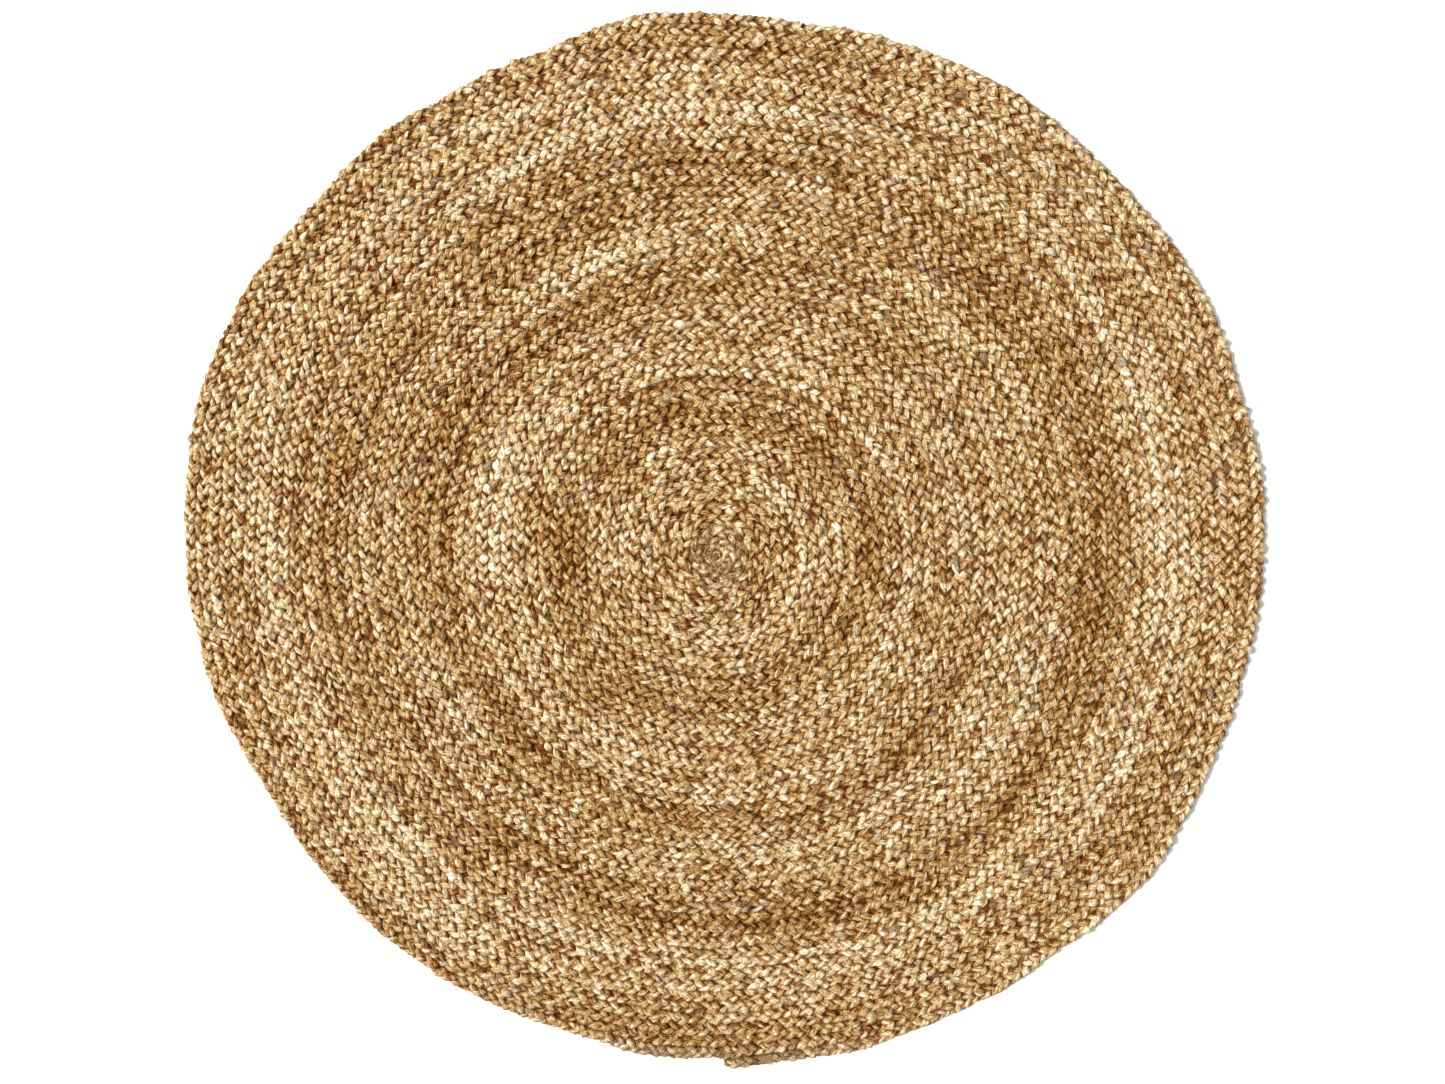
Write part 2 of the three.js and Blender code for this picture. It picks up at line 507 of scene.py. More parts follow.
class Bench:
    """A material's node tree, with one method that makes any node."""

    def __init__(self, name: str) -> None:
        """Starts a material with an empty tree.

        Args:
            name: The material's name.
        """
        self.material = bpy.data.materials.new(name)
        self.material.use_nodes = True
        self.tree = self.material.node_tree
        self.tree.nodes.clear()

    def node(self, kind: str, settings: dict | None = None, sockets: dict | None = None) -> bpy.types.Node:
        """Makes a node.

        Args:
            kind: The node's type.
            settings: Properties, set first. "stops" holds a ramp's places and colours.
            sockets: Values or links by socket name or number.

        Returns:
            The node.
        """
        made = self.tree.nodes.new(kind)
        for key, value in (settings or {}).items():
            if key == "stops":
                elements = made.color_ramp.elements
                while len(elements) < len(value):
                    elements.new(1.0)
                for element, (place, colour) in zip(elements, value, strict=True):
                    element.position = place
                    element.color = (*colour, 1.0)
            else:
                setattr(made, key, value)
        for key, value in (sockets or {}).items():
            if isinstance(value, Wire):
                self.tree.links.new(value.socket, made.inputs[key])
            elif isinstance(value, Socket):
                self.tree.links.new(value, made.inputs[key])
            else:
                made.inputs[key].default_value = value
        return made

    def number(self, label: str) -> Wire:
        """A number that the mesh carries at its vertices."""
        made = self.node("ShaderNodeAttribute", {"attribute_type": "GEOMETRY", "attribute_name": label})
        return Wire(self, made.outputs["Fac"])

    def noise(self, vector: Socket, scale: float, detail: float, roughness: float = 0.6) -> Wire:
        """Noise from 0 to 1 over a vector."""
        sockets = {"Vector": vector, "Scale": scale, "Detail": detail, "Roughness": roughness}
        return Wire(self, self.node("ShaderNodeTexNoise", {}, sockets).outputs["Fac"])

    def stretched(self, layer: str, along: float, across: float) -> Socket:
        """The strand map, scaled along and across the fibres."""
        place = self.node("ShaderNodeUVMap", {"uv_map": layer})
        made = self.node(
            "ShaderNodeMapping", {}, {"Vector": place.outputs["UV"], "Scale": (along, across, 1.0)}
        )
        return made.outputs["Vector"]

    def blend(self, share: object, first: object, second: object, kind: str = "MIX") -> Socket:
        """Two colours mixed by a share."""
        made = self.node(
            "ShaderNodeMix",
            {"data_type": "RGBA", "blend_type": kind, "clamp_factor": True},
            {0: share, 6: first, 7: second},
        )
        return made.outputs[2]

    def bump(self, strength: float, distance: float, height: Wire) -> Socket:
        """Normal of a surface raised by a height."""
        sockets = {"Strength": strength, "Distance": distance, "Height": height}
        return self.node("ShaderNodeBump", {}, sockets).outputs["Normal"]

    def finished(self, sockets: dict) -> Material:
        """The material, once one Principled node with these sockets feeds its output."""
        shader = self.node("ShaderNodeBsdfPrincipled", {}, sockets)
        self.node("ShaderNodeOutputMaterial", {}, {"Surface": shader.outputs[0]})
        return self.material


class Hank(Enum):
    """Shade of a hank of raw jute, named as in the record's material slots."""

    HONEY = "jute_honey"
    STRAW = "jute_straw"
    AMBER = "jute_amber"
    TAIL = "jute_tail"


@dataclass(frozen=True)
class Grain:
    """One size of streak on jute: noise scales along and across the fibres, detail and weight."""

    along: float
    across: float
    detail: float
    weight: float


@dataclass(frozen=True)
class JuteFinish:
    """Raw jute, as a glossy bundle of fine fibres, with painted shade in its creases and painted light and
    glints on its crowns.
    """

    hank: Hank
    # Painted shade: the colour in the creases, where shade falls.
    painted_crease_shade: Triple
    body: Triple
    # The jute's colour on the crowns, lightened as painted light.
    painted_lit_crown: Triple
    # Painted glints on the brightest streaks of the crowns.
    pale: Triple
    grey: Triple = (0.50, 0.42, 0.28)
    bark: Triple = (0.085, 0.028, 0.006)
    roughness: float = 0.34
    gloss: float = 0.10
    fibre_bump: float = 1.0
    # The grains streak the fibre tone; where the streaks reach the ends of the ramp they paint glints and
    # fine crease shade.
    fine: Grain = Grain(170.0, 2600.0, 2.0, 0.22)
    glint: Grain = Grain(230.0, 700.0, 3.0, 0.30)
    fleck: Grain = Grain(380.0, 1100.0, 2.0, 0.22)
    broad: Grain = Grain(60.0, 300.0, 2.0, 0.26)
    patch_scale: float = 7.0
    patch_detail: float = 3.0
    stops: tuple[float, ...] = (0.04, 0.38, 0.70, 1.0)
    level_start: float = -0.02
    # depth_weight sets how strongly the depth number paints crease shade and crown light.
    depth_weight: float = 0.66
    tone_weight: float = 0.17
    streak_weight: float = 5.4
    patch_weight: float = 0.14
    bark_cover: Pair = (1.6, 1.5)
    dullness: float = 0.6
    roughness_range: Pair = (0.22, 0.97)

    def material(self) -> Material:
        """Builds the finish.

        The colour climbs from painted shade in the creases to painted light on the crowns with the depth
        number, is lighter or darker with the tone number and with broad patches of wear, and is streaked
        by noise stretched along the fibres; the streaks are fibre tone, and the palest of them are painted
        glints.
        Grey and bark-brown lengths are blended in by their own numbers. The fibres are glossy on the
        crowns and dull in the creases.

        Returns:
            The material.
        """
        bench = Bench(self.hank.value)
        grains = (self.fine, self.glint, self.fleck, self.broad)
        noises = [bench.noise(bench.stretched("strand", g.along, g.across), 1.0, g.detail) for g in grains]
        fine, glint = noises[:2]
        streak = sum(noise * grain.weight for noise, grain in zip(noises, grains, strict=True))
        place = bench.node("ShaderNodeTexCoord").outputs["Object"]
        patches = bench.noise(place, self.patch_scale, self.patch_detail)
        depth = bench.number("depth")
        level = (
            depth * self.depth_weight
            + bench.number("tone") * self.tone_weight
            + (streak - 0.5) * self.streak_weight
            + (patches - 0.5) * self.patch_weight
            + self.level_start
        )
        # The ramp runs from painted crease shade through the body colour and the painted light of the
        # crowns to painted glints.
        shades = (self.painted_crease_shade, self.body, self.painted_lit_crown, self.pale)
        stops = tuple(zip(self.stops, shades, strict=True))
        ramp = bench.node("ShaderNodeValToRGB", {"stops": stops}, {0: level.clamped(0.0, 1.0)})
        grey = (*self.grey, 1.0)
        greyed = bench.blend(bench.number("greyness"), ramp.outputs["Color"], grey, "SATURATION")
        most, broken = self.bark_cover
        flecked = (bench.number("bark") * (most - streak * broken)).clamped(0.0, 1.0)
        rough = self.roughness + self.dullness * (1.0 - depth) + self.dullness * (0.5 - glint)
        return bench.finished({
            "Base Color": bench.blend(flecked, greyed, (*self.bark, 1.0)),
            "Roughness": rough.clamped(*self.roughness_range),
            "Normal": bench.bump(self.fibre_bump, 1.0 * MM, fine * 0.5 + glint * 0.5),
            "Specular IOR Level": self.gloss,
        })


# Per hank: painted crease shade, body colour, crown colour with painted light, painted glint.
HONEY_SHADES = ((0.115, 0.026, 0.001), (0.385, 0.196, 0.048), (0.60, 0.44, 0.205), (0.92, 0.88, 0.71))
STRAW_SHADES = ((0.125, 0.030, 0.002), (0.415, 0.220, 0.060), (0.64, 0.485, 0.245), (0.93, 0.90, 0.75))
AMBER_SHADES = ((0.105, 0.023, 0.001), (0.355, 0.172, 0.038), (0.57, 0.40, 0.175), (0.90, 0.84, 0.65))
TAIL_SHADES = ((0.115, 0.032, 0.002), (0.35, 0.190, 0.050), (0.56, 0.405, 0.180), (0.86, 0.79, 0.56))
FINISHES = (
    JuteFinish(Hank.HONEY, *HONEY_SHADES),
    JuteFinish(Hank.STRAW, *STRAW_SHADES),
    JuteFinish(Hank.AMBER, *AMBER_SHADES),
    JuteFinish(Hank.TAIL, *TAIL_SHADES, roughness=0.5),
)


# --- Shades of the hanks, by round -------------------------------------------------------

HANK_SHADE = {Hank.HONEY: 0.0, Hank.STRAW: 0.02, Hank.AMBER: -0.02, Hank.TAIL: 0.0}
SLOT_OF = {entry["node"]: entry["material_slot"] for entry in frame["record"]["subparts"]}


def shade_of(node: str) -> float:
    """Shade of the hank that a CAD node is made from."""
    return HANK_SHADE[Hank(SLOT_OF[node])]


# --- The braid ---------------------------------------------------------------------------


@dataclass(frozen=True)
class Trait:
    """One uneven quality of a strand.

    The run goes from one value of its noise to the next, in metres, radians or crossings. The
    noise is held within the limit and then multiplied by the weight.
    """

    weight: float
    run: float = 1.0
    limit: float = math.inf


TRAITS = {
    "width": Trait(0.17),
    "thick": Trait(0.14),
    "rise": Trait(0.16),
    "sway": Trait(0.11),
    "slow": Trait(0.06, 0.30),
    "tone": Trait(0.35, 0.70),
    "bead": Trait(0.42),
    "sliver": Trait(0.40, 0.07),
    "grey": Trait(1.2, 0.06),
    "bark": Trait(1.0),
    "lump": Trait(0.12, 0.011),
    "phase": Trait(0.26, math.pi, 2.0),
    "roll": Trait(0.32),
    "drift": Trait(0.3 * MM, 0.04),
    "row": Trait(0.50, 0.45),
    "tilt": Trait(0.15, 0.16, 2.0),
    "shut": Trait(0.40),
    "stain": Trait(1.0, 0.025),
}


@dataclass
class Braid:
    """The three strands of the flat braid, laid along the coil.

    Across the braid a strand swings as a sine of the plaiting phase, and in height as a sine of
    twice the phase, so that it rises from the middle, lies on top on its way out to the edge and
    comes back underneath.
    """

    coil: Coil
    plait: Plait
    bottom: float
    top: float
    strands: int = 3
    sides: int = 8
    stations_per_plait: int = 16
    sway: float = 4.65 * MM
    rise: float = 2.15 * MM
    half_width: float = 4.3 * MM
    half_thickness: float = 3.0 * MM
    squareness: float = 2.5
    edge_turn: float = 1.7
    dive_width: float = 0.20
    dive_thickness: float = 0.14
    proud: float = 1.2 * MM
    easy_share: float = 0.84
    girth: float = 18.0 * MM
    arc_waves: int = 18
    arc_seed: int = 15037
    arc_crests: int = 6
    arc_rounds: Pair = (4.0, 17.0)
    arc_weight: float = 0.42
    splices: Triple = (-0.35, 0.08, 0.42)
    # crease: heights over which depth climbs from painted crease shade to painted crown light; shut:
    # random scale of that painted shade from crossing to crossing.
    crease: Pair = (0.40, 0.56)
    shut_mean: float = 0.85
    shut_range: Pair = (0.1, 1.5)
    # open_shine: painted light on the open outer edge of the last round.
    open_shine: float = 0.75
    open_rate: float = 40.0
    stain_from: float = 1.3
    stain_weight: float = 2.2
    tone_gain: float = 0.5
    shade_gain: float = 5.0
    grey_from: float = 1.7
    grey_most: float = 0.45
    dull_turns: Pair = (44.004, 43.048)
    dull_reach: float = 0.026
    dull_most: float = 0.20
    bark_from: float = 2.0
    bark_most: float = 0.6
    bark_gain: float = 1.3
    seed: int = 71

    def __post_init__(self) -> None:
        """Draws the unevenness of every strand."""
        self.uneven = {
            kind: [Unevenness(self.seed + 100 * number + strand) for strand in range(self.strands)]
            for number, kind in enumerate(TRAITS)
        }
        nodes = [f"round_{number:02d}" for number in range(1, self.coil.rounds + 1)]
        self.round_shades = np.array([shade_of(node) for node in nodes])

    @property
    def middle(self) -> float:
        """Height of the braid's middle plane."""
        return 0.5 * (self.bottom + self.top)

    def trait(self, kind: str, strand: int, place: Array, apart: Array | float = 0.0) -> Array:
        """One trait's noise along a strand, in its own runs, plus knots that set sides apart."""
        trait = TRAITS[kind]
        noise = self.uneven[kind][strand].at(place / trait.run + apart)
        return trait.weight * np.clip(noise, -trait.limit, trait.limit)

    def centre_line(self, strand: int, length: Array, phase: Array) -> Array:
        """Middle of a strand.

        The offset across is the sway times the sine of the phase. The height is the rise times
        the sine of twice the phase. Both vary a little from one crossing to the next.

        Args:
            strand: Which strand.
            length: Lengths along the braid.
            phase: Plaiting phase of this strand at those lengths.

        Returns:
            Rows of offset across, height from the middle plane and length along.
        """
        quarter = phase / CROSSING - 0.5
        full = self.plait.fullness(length)
        sway = self.sway * (1.0 + self.trait("sway", strand, quarter)) * full
        rise = self.rise * (1.0 + self.trait("rise", strand, quarter)) * np.sqrt(full)
        drift = self.trait("drift", 0, length)
        return np.stack([sway * np.sin(phase) + drift, rise * np.sin(2.0 * phase), length], axis=-1)

    def section_axes(self, line: Array, phase: Array, roll: Array) -> tuple[Array, Array]:
        """Directions of a strand's width and thickness, square to its own run.

        The width lies flat on top and underneath and turns by half a circle round each edge of
        the braid, as a hyperbolic tangent of the cosine of the phase.

        Args:
            line: The strand's middle line.
            phase: Its plaiting phase.
            roll: Extra turn of the section about the run.

        Returns:
            Unit vectors along the width and along the thickness.
        """
        run = np.gradient(line, axis=0)
        run /= np.linalg.norm(run, axis=1, keepdims=True)
        turned = np.tanh(self.edge_turn * np.cos(phase)) / math.tanh(self.edge_turn)
        angle = -CROSSING * (1.0 - turned) + roll
        flat = np.stack([np.cos(angle), np.sin(angle), np.zeros_like(angle)], axis=-1)
        wide = flat - np.sum(flat * run, axis=1, keepdims=True) * run
        wide /= np.linalg.norm(wide, axis=1, keepdims=True)
        return wide, np.cross(run, wide)

    def strand_rings(self, strand: int, phase: Array) -> tuple[Array, Array]:
        """Rings of points round a strand, in braid terms.

        Each ring is a rounded box of the strand's half width and half thickness. It swells at
        the crown of each crossing and draws in where the strand dives, its lumps run along the
        fibres, and the whole braid tilts a little from place to place.

        Args:
            strand: Which strand.
            phase: Phase of the braid at each station.

        Returns:
            Points with a last axis of offset across, height from the middle plane and length
            along, and the strand's own phase.
        """
        own = phase + TURN * strand / self.strands
        own = own + self.trait("phase", strand, own)
        length = self.plait.length_of_phase(phase)
        quarter = own / CROSSING - 0.5
        line = self.centre_line(strand, length, own)
        wide, thick = self.section_axes(line, own, self.trait("roll", strand, quarter))
        full = self.plait.fullness(length)
        bulk = full * (1.0 + self.trait("slow", strand, length))
        dive = 1.0 - np.abs(np.sin(2.0 * own))
        half_width = self.half_width * bulk * (1.0 - self.dive_width * dive)
        half_width = half_width * (1.0 + self.trait("width", strand, quarter))
        half_thick = self.half_thickness * bulk * (1.0 - self.dive_thickness * dive)
        half_thick = half_thick * (1.0 + self.trait("thick", strand, quarter))
        sides = np.arange(self.sides)
        lumps = 1.0 + self.trait("lump", strand, length[:, None], SIDE_STAGGER * sides)
        cosine, sine = rounded_box(TURN * sides / self.sides, self.squareness)
        across = half_width[:, None] * cosine * lumps
        through = half_thick[:, None] * sine * lumps
        rings = line[:, None] + across[..., None] * wide[:, None] + through[..., None] * thick[:, None]
        tilt = (self.trait("tilt", 0, length) * full**2)[:, None]
        across, height = rings[..., 0].copy(), rings[..., 1].copy()
        rings[..., 0] = across * np.cos(tilt) - height * np.sin(tilt)
        rings[..., 1] = self.pressed(across * np.sin(tilt) + height * np.cos(tilt))
        return rings, own

    def pressed(self, height: Array) -> Array:
        """Heights pressed flat by floor and foot: kept below the limit, then flattening off.

        Args:
            height: Heights from the middle plane.

        Returns:
            Heights within half the braid's thickness, or a little proud of it at the top.
        """
        half = 0.5 * (self.top - self.bottom)
        limit = np.where(height > 0.0, half + self.proud, half)
        easy = self.easy_share * limit
        over = np.maximum(np.abs(height) - easy, 0.0)
        room = limit - easy
        return np.sign(height) * (np.minimum(np.abs(height), easy) + room * np.tanh(over / room))

    def numbers(self, strand: int, rings: Array, own: Array, shade: float) -> dict[str, Array]:
        """What the finish reads at each point.

        Depth is 0 in the creases and 1 on the crowns, and the finish turns it into painted shade in the
        creases and painted light on the crowns. It counts the open outer edge of the last round as a
        crown, which paints light on that edge, and is weaker, so that the painted crease shade is darker,
        where a crossing is shut tight. Tone adds the row, the strand, slivers, single crossings and broad
        arcs, and takes stains away.
        Greyness marks rare lengths and the dull lengths beside the tail, and bark marks rare crossings.

        Args:
            strand: Which strand.
            rings: The strand's points in braid terms.
            own: The strand's phase at each ring.
            shade: Shade that the round's own finish already has.

        Returns:
            Numbers by label, one per point.
        """
        length = rings[:, 0, 2]
        turns = self.plait.turns_at(rings[..., 2])
        half = 0.5 * (self.top - self.bottom)
        height = np.abs(rings[..., 1]) / half
        # Depth sets painted shade in the creases and painted light on the crowns and on the open rim edge.
        open_edge = np.clip((turns - (self.coil.rounds - 1.0)) * self.open_rate, 0.0, 1.0)
        painted_edge_light = self.open_shine * open_edge * np.clip(rings[..., 0] / (0.5 * self.coil.pitch), 0.0, 1.0)
        lowest, climb = self.crease
        depth = np.clip((np.maximum(height, painted_edge_light) - lowest) / climb, 0.0, 1.0)
        shut = np.clip(self.shut_mean + self.trait("shut", strand, own / CROSSING), *self.shut_range)
        depth = np.clip(1.0 - (1.0 - depth) * shut[:, None], 0.0, 1.0)
        bead = np.floor(own / CROSSING)
        stain = self.trait("stain", strand, length) - self.stain_from
        tone = (
            self.trait("row", 0, length)
            + self.trait("tone", strand, length)
            + self.trait("sliver", strand, length)
            + self.trait("bead", strand, bead)
            + self.arc_weight * self.arcs(turns[:, 0])
            - self.stain_weight * np.clip(stain, 0.0, 1.0)
        )
        rounds = np.floor(turns[:, 0] + self.splices[strand]).astype(int)
        spliced = self.round_shades[np.clip(rounds, 0, len(self.round_shades) - 1)]
        grey = np.clip(self.trait("grey", strand, length) - self.grey_from, 0.0, self.grey_most)
        apart = np.min([np.abs(turns[:, 0] - middle) for middle in self.dull_turns], axis=0)
        grey = np.maximum(grey, self.dull_most * np.clip(2.0 - 2.0 * apart / self.dull_reach, 0.0, 1.0))
        bark = self.trait("bark", strand, bead) - self.bark_from
        bark = self.bark_gain * np.clip(bark, 0.0, self.bark_most)
        around = np.ones(rings.shape[1])
        return {
            "depth": depth,
            "tone": np.outer(tone * self.tone_gain + (spliced - shade) * self.shade_gain, around),
            "greyness": np.outer(grey, around),
            "bark": np.outer(bark, around),
        }

    def arcs(self, turns: Array) -> Array:
        """Broad arcs of lighter and darker jute.

        It is a sum of sine waves, each with its own crests round the rug and its own rounds
        from one crest to the next.

        Args:
            turns: Turns from the curl.

        Returns:
            A shade with a spread of about 1.
        """
        draw = np.random.default_rng(self.arc_seed)
        total = np.zeros_like(turns)
        for _ in range(self.arc_waves):
            crests = draw.integers(-self.arc_crests, self.arc_crests + 1)
            start = draw.uniform(0.0, TURN)
            rounds = draw.uniform(*self.arc_rounds)
            total += np.sin(TURN * turns / rounds + crests * TURN * turns + start)
        return total * math.sqrt(2.0 / self.arc_waves)

    def stretch(self, first_turn: float, last_turn: float, shade: float) -> Surface:
        """All three strands over a stretch of the coil, each a closed tube.

        Args:
            first_turn: Turns at the start.
            last_turn: Turns at the end.
            shade: Shade that the stretch's own finish already has.

        Returns:
            The gathered surface in the model's frame.
        """
        ends = self.plait.length_at(np.array([first_turn, last_turn]))
        first, last = self.plait.phase_at(ends)
        stations = math.ceil((last - first) / TURN * self.stations_per_plait) + 1
        phase = np.linspace(first, last, stations)
        rings, numbers = [], []
        for strand in range(self.strands):
            laid, own = self.strand_rings(strand, phase)
            turns = self.plait.turns_at(laid[..., 2])
            share = 0.5 + laid[..., 0] / self.coil.pitch
            rings.append(self.coil.place(turns, share, self.middle + laid[..., 1]))
            numbers.append(self.numbers(strand, laid, own, shade))
        gathered = {label: np.stack([each[label] for each in numbers]) for label in numbers[0]}
        return gather_tubes(np.stack(rings), gathered, self.girth, float(ends[0]))

    def build(self, finishes: dict[Hank, Material]) -> None:
        """Makes the curled start, every round and the tail, each standing for its CAD node.

        Args:
            finishes: Material of each hank.
        """
        last = float(self.plait.turns[-1])
        stretches = [("curled_start", self.plait.first_turn, 0.0)]
        stretches += [(f"round_{n:02d}", n - 1.0, float(n)) for n in range(1, self.coil.rounds + 1)]
        stretches += [("tail", float(self.coil.rounds), last)]
        for node, first_turn, last_turn in stretches:
            surface = self.stretch(first_turn, last_turn, shade_of(node))
            add_piece(f"plaited_{node}", surface, finishes[Hank(SLOT_OF[node])], SLOT_OF[node], node)


# --- Lacing twine ------------------------------------------------------------------------


@dataclass(frozen=True)
class TwineFinish:
    """Dull twisted jute twine, whose plies run round it on the slant."""

    name: str = "lacing_twine"
    dark: Triple = (0.15, 0.052, 0.008)
    pale: Triple = (0.40, 0.23, 0.075)
    plies: float = 520.0
    ply_bend: float = 1.5
    detail: float = 2.0
    fuzz_scale: float = 3.0
    fuzz_detail: float = 3.0
    ply_weight: float = 0.6
    fuzz_weight: float = 0.5
    ply_bump: float = 0.6
    roughness: float = 0.8
    wear: float = 0.1

    def material(self) -> Material:
        """Builds the finish: slant bands for the plies, broken up by fine noise.

        Returns:
            The material.
        """
        bench = Bench(self.name)
        place = bench.stretched("strand", self.plies, 1.0 / MM)
        ply = bench.node(
            "ShaderNodeTexWave",
            {"wave_type": "BANDS", "bands_direction": "DIAGONAL"},
            {"Vector": place, "Scale": 0.5, "Distortion": self.ply_bend, "Detail": self.detail},
        )
        level = Wire(bench, ply.outputs["Fac"]) * self.ply_weight
        fuzz = bench.noise(place, self.fuzz_scale, self.fuzz_detail)
        level = (level + fuzz * self.fuzz_weight).clamped(0.0, 1.0)
        return bench.finished({
            "Base Color": bench.blend(level, (*self.dark, 1.0), (*self.pale, 1.0)),
            "Roughness": self.roughness - self.wear * level,
            "Normal": bench.bump(self.ply_bump, 0.3 * MM, level),
        })


LACING_TWINE = TwineFinish()
WHIPPING_TWINE = TwineFinish("whipping_twine", (0.19, 0.085, 0.018), (0.56, 0.38, 0.16))


@dataclass
class Lacing:
    """The twine that sews each round to the round inside it, as one long weaving line."""

    coil: Coil
    plait: Plait
    middle: float
    radius: float = 1.35 * MM
    sides: int = 3
    stitch: float = 24.0 * MM
    stations_per_stitch: int = 4
    sway: float = 0.8 * MM
    rise: float = 1.0 * MM
    tail_share: float = 0.6

    def build(self, finish: Material) -> None:
        """Makes the lacing in every seam.

        Along a seam the twine swings sideways as a sine of the stitch phase and in height as a
        cosine of it, so that it goes round the strand edges on either side in turn.

        Args:
            finish: The twine's material.
        """
        last = self.coil.rounds + self.tail_share * float(self.plait.turns[-1] - self.coil.rounds)
        turns = np.linspace(0.0, last, self.plait.table_size)
        step = np.diff(turns, prepend=turns[0]) * TURN * self.coil.radius(turns, 0.0)
        length = np.cumsum(step)
        stations = round(length[-1] / self.stitch * self.stations_per_stitch)
        reached = np.linspace(0.0, length[-1], stations)
        phase = TURN * reached / self.stitch + 0.25 * math.pi
        turns = np.interp(reached, length, turns)
        share = self.sway * np.sin(phase) / self.coil.pitch
        line = self.coil.place(turns, share, self.middle + self.rise * np.cos(phase))
        rings = sweep(line[None], np.full((1, stations), self.radius), self.sides, UP)
        surface = gather_tubes(rings, {}, TURN * self.radius)
        add_piece("sewn_lacing_twine", surface, finish, "lacing_twine", "lacing_twine")


@dataclass
class Whipping:
    """Turns of twine wound close round the tail, at the place of the CAD whipping."""

    coil: Coil
    plait: Plait
    middle: float
    half_width: float = 5.1 * MM
    half_height: float = 4.2 * MM
    squareness: float = 2.4
    radius: float = 0.65 * MM
    length: float = 13.0 * MM
    turns: int = 8
    setback: float = 59.0 * MM
    stations_per_turn: int = 28
    sides: int = 6
    slip: float = 0.12 * MM
    slip_run: float = 1.7
    seed: int = 905

    def build(self, finish: Material) -> None:
        """Makes the whipping.

        One turn is a rounded box of the half width and half height, and each slips a little
        along the tail.

        Args:
            finish: The twine's material.
        """
        angle = np.linspace(0.0, TURN * self.turns, self.turns * self.stations_per_turn + 1)
        across, height = rounded_box(angle, self.squareness)
        slip = self.slip * Unevenness(self.seed).at(angle / self.slip_run)
        start = float(self.plait.length_at(np.array(float(self.coil.rounds)))) + self.setback
        along = start + self.length * (angle / angle[-1] - 0.5) + slip
        turns = self.plait.turns_at(along)
        share = 0.5 + self.half_width * across / self.coil.pitch
        line = self.coil.place(turns, share, self.middle + self.half_height * height)
        bearing = self.coil.bearing(self.plait.turns_at(np.array(start)))
        level = np.array([math.sin(bearing), -math.cos(bearing), 0.0])
        rings = sweep(line[None], np.full((1, len(angle)), self.radius), self.sides, level)
        surface = gather_tubes(rings, {}, TURN * self.radius)
        add_piece("wound_tail_whipping", surface, finish, "lacing_twine", "tail_whipping")


@dataclass
class CurlCore:
    """The tightly wound fibres inside the first half turn of the braid."""

    radius: float = 1.8 * MM
    first_radius: float = 1.2 * MM
    pitch: float = 2.9 * MM
    turns: float = 3.9
    height: float = 6.5 * MM
    stations: int = 220
    sides: int = 10
    uneven_height: float = 0.8 * MM
    uneven_radius: float = 0.24
    uneven_ridges: float = 0.14
    knots_per_turn: Triple = (6.0, 8.0, 9.0)
    shade: Pair = (-0.9, 0.9)
    seed: int = 88

    def build(self, finish: Material) -> None:
        """Makes the core.

        A slack strand winds clockwise as a spiral whose radius grows by one pitch a turn. Its
        thickness and height are uneven, and its rings have ridges along the fibres.

        Args:
            finish: Material of its hank.
        """
        turned = np.linspace(0.0, self.turns, self.stations)
        bearing = -TURN * turned
        radius = self.first_radius + self.pitch * turned
        noise = [Unevenness(self.seed + number) for number in range(4)]
        slow, middling, quick = (turned * knots for knots in self.knots_per_turn)
        height = self.height + self.uneven_height * noise[0].at(slow)
        line = np.stack([radius * np.cos(bearing), radius * np.sin(bearing), height], axis=-1)
        thick = self.radius * (1.0 + self.uneven_radius * noise[1].at(middling))
        rings = sweep(line[None], thick[None], self.sides, UP)
        sides = SIDE_STAGGER * np.arange(self.sides)
        bulge = 1.0 + self.uneven_ridges * noise[2].at(quick[:, None] + sides)
        rings = line[None, :, None] + (rings - line[None, :, None]) * bulge[None, :, :, None]
        every = np.ones(rings.shape[:3])
        mean, spread = self.shade
        # Depth paints shade low on the core and light on its top.
        numbers = {
            "depth": every * np.clip((rings[..., 2] - self.height) / self.radius, 0.0, 1.0),
            "tone": every * (mean + spread * noise[3].at(slow)[None, :, None]),
            "greyness": every * 0.0,
            "bark": every * 0.0,
        }
        surface = gather_tubes(rings, numbers, TURN * self.radius)
        add_piece("wound_curl_core", surface, finish, Hank.HONEY.value)


# --- Loose fibres ------------------------------------------------------------------------


@dataclass(frozen=True)
class Crop:
    """One kind of loose fibre and where it grows.

    Turns and shares say which part of the coil it covers. Lengths, thicknesses, heights and
    lifts are lowest and highest values in metres. A heading is an angle from the braid's own
    direction towards the rim, with a spread.
    """

    name: str
    hank: Hank
    count: int
    turns: Pair
    shares: Pair
    lengths: Pair
    thickness: Pair
    heights: Pair
    lifts: Pair
    heading: float = 0.0
    spread: float = 0.6
    both_ways: bool = True
    bend: float = 0.35
    wave: float = 0.05
    bark: float = 0.0
    grey: float = 0.12


